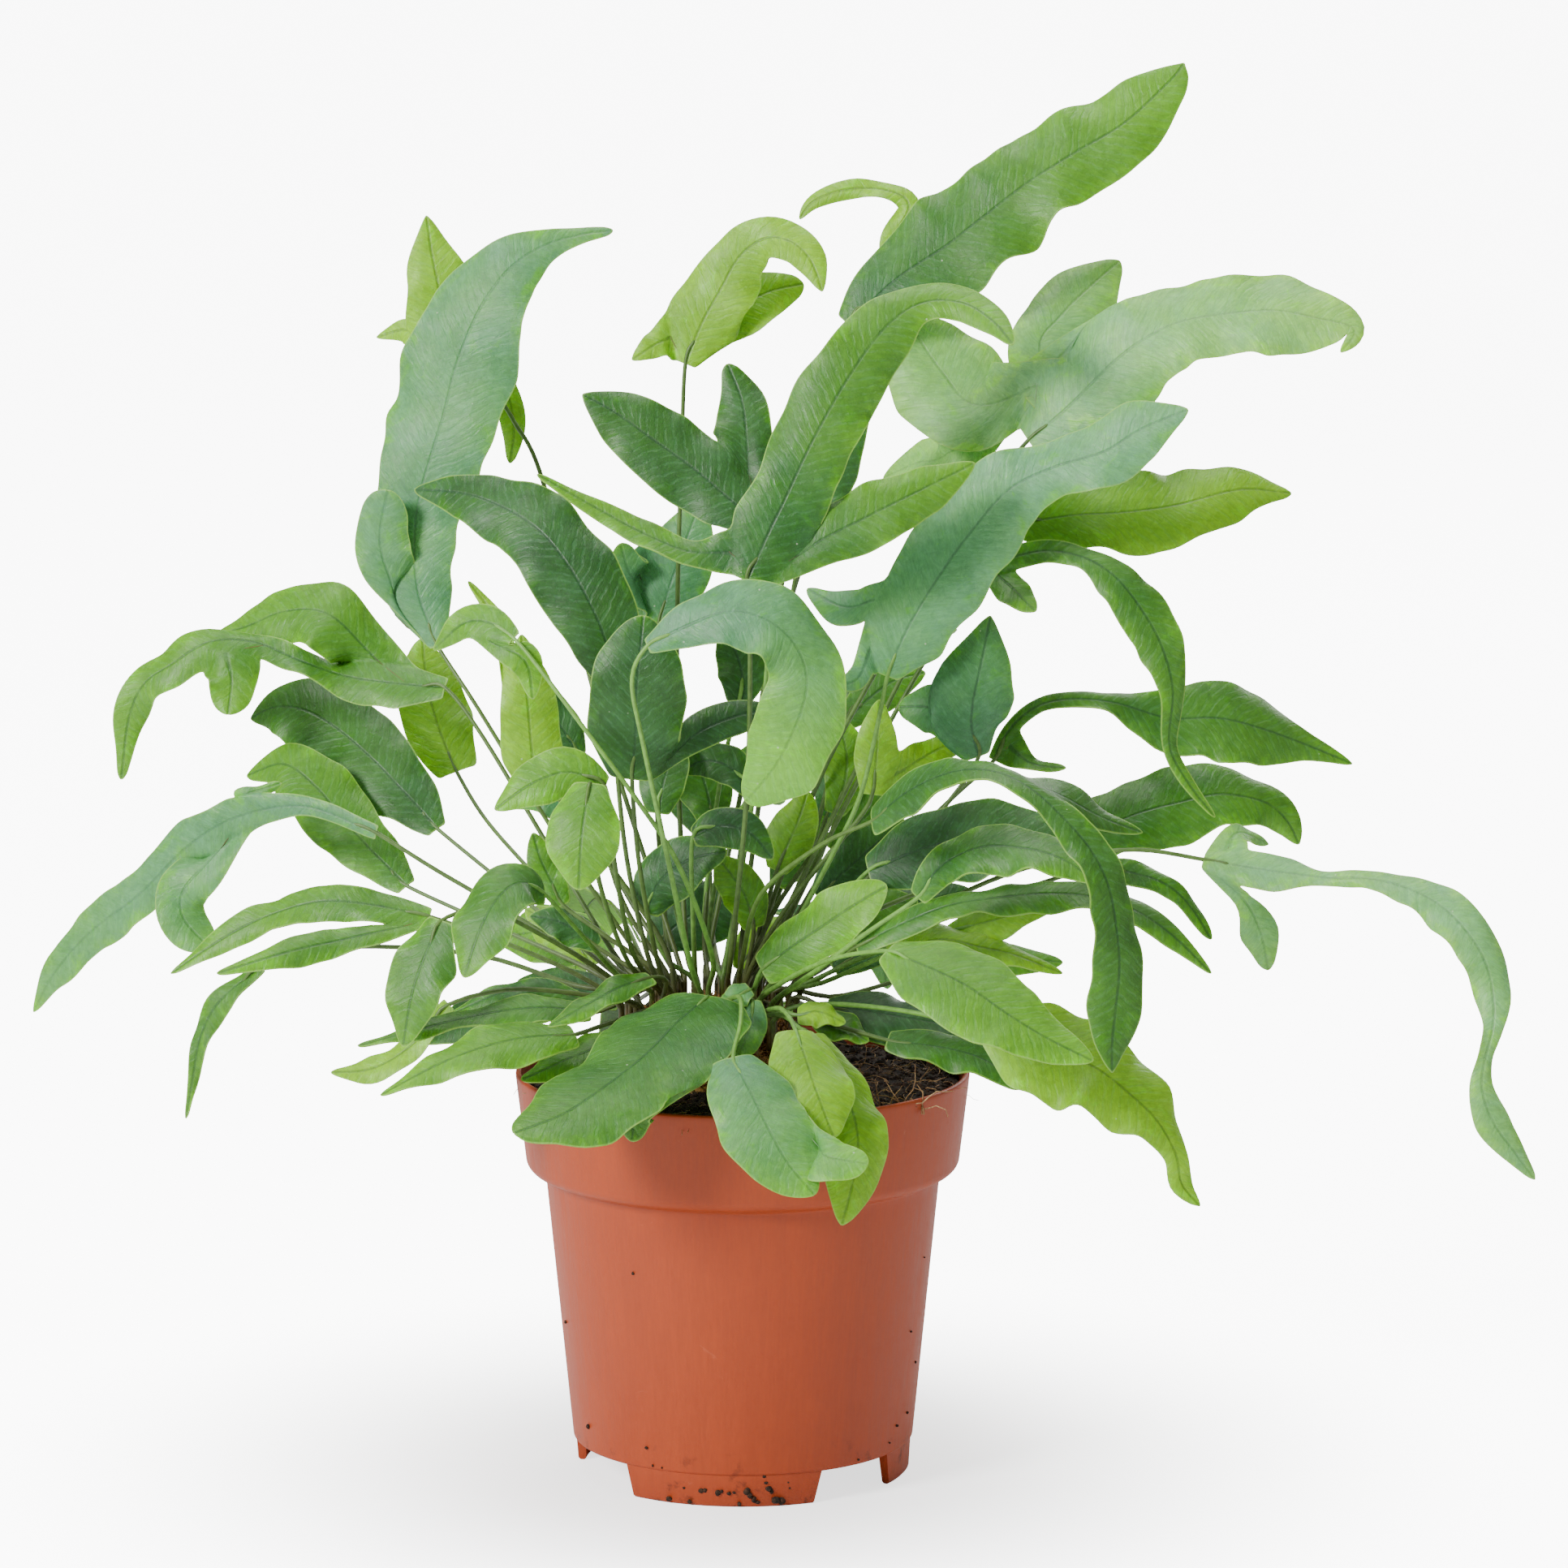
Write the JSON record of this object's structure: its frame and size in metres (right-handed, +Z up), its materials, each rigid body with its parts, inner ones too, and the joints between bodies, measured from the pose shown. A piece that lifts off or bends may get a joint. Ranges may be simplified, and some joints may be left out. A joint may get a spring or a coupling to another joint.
{
  "type": "potted blue star fern",
  "caption": "Blue star fern with broad, wavy, lobed blue-green fronds fanning out of a round terracotta-coloured plastic nursery pot filled with peat.",
  "frame": {"origin": "on the ground under the pot's axis, which is within 3 mm of the middle of the whole plant's width and depth", "axes": "+Z up, +X to the plant's right as seen from the front, -Y towards the viewer in front"},
  "size_m": [0.3962, 0.2361, 0.3705],
  "materials": {
    "pot_plastic": "satin terracotta orange",
    "soil": "rough peat",
    "rhizome": "furry scales",
    "leaf_blue_green": "soft waxy leaf",
    "leaf_green": "soft waxy leaf",
    "leaf_fresh_green": "soft waxy leaf",
    "leaf_dark_green": "soft waxy leaf",
    "leaf_olive_green": "soft waxy leaf"
  },
  "bodies": {
    "root": {"nursery_pot": "pot_plastic", "potting_soil": "soil", "rhizome": "rhizome", "frond_far_left": "leaf_blue_green", "frond_left_two_arm": "leaf_green", "frond_left_upper_strap": "leaf_green", "frond_left_lower_strap": "leaf_fresh_green", "frond_left_back": "leaf_olive_green", "frond_upper_left": "leaf_blue_green", "frond_upper_left_yellow": "leaf_olive_green", "frond_left_arch": "leaf_blue_green", "frond_centre": "leaf_green", "frond_centre_hanging": "leaf_fresh_green", "frond_upper_centre": "leaf_dark_green", "frond_top_centre": "leaf_olive_green", "frond_top_back": "leaf_olive_green", "frond_top_right": "leaf_green", "frond_right_pale": "leaf_fresh_green", "frond_right_blue": "leaf_blue_green", "frond_right_yellow_tip": "leaf_fresh_green", "frond_right_arch": "leaf_green", "frond_right_broad": "leaf_blue_green", "frond_right_long_neck": "leaf_green", "frond_right_back_strap": "leaf_green", "frond_far_right": "leaf_blue_green", "frond_front_right_droop": "leaf_dark_green", "frond_right_dark": "leaf_dark_green", "frond_right_bright_arch": "leaf_fresh_green", "frond_right_low_strap": "leaf_green", "frond_right_pointed": "leaf_green", "frond_right_pair": "leaf_olive_green", "frond_front_right_bright": "leaf_fresh_green", "frond_right_drop": "leaf_fresh_green", "frond_right_rim": "leaf_dark_green", "frond_front_left_big": "leaf_blue_green", "frond_front_fold": "leaf_blue_green", "frond_front_yellow": "leaf_olive_green", "frond_crown_bright": "leaf_fresh_green", "frond_left_fold": "leaf_green", "frond_left_low_broad": "leaf_green", "frond_left_olive_drop": "leaf_olive_green", "frond_left_straps": "leaf_fresh_green", "frond_left_low_lance": "leaf_green", "frond_left_rim_low": "leaf_fresh_green", "frond_left_rim": "leaf_green", "frond_left_hanging": "leaf_fresh_green", "frond_pale_long": "leaf_fresh_green", "frond_left_inner": "leaf_olive_green", "frond_back_grey": "leaf_blue_green", "frond_inner_low": "leaf_dark_green", "frond_inner_right": "leaf_olive_green", "frond_back_centre": "leaf_green", "frond_back_left": "leaf_fresh_green", "frond_back_right": "leaf_blue_green", "frond_back_left_high": "leaf_blue_green", "frond_back_right_high": "leaf_green", "frond_back_top": "leaf_green", "frond_back_drop": "leaf_dark_green", "frond_back_drop_right": "leaf_fresh_green"}
  },
  "joints": []
}
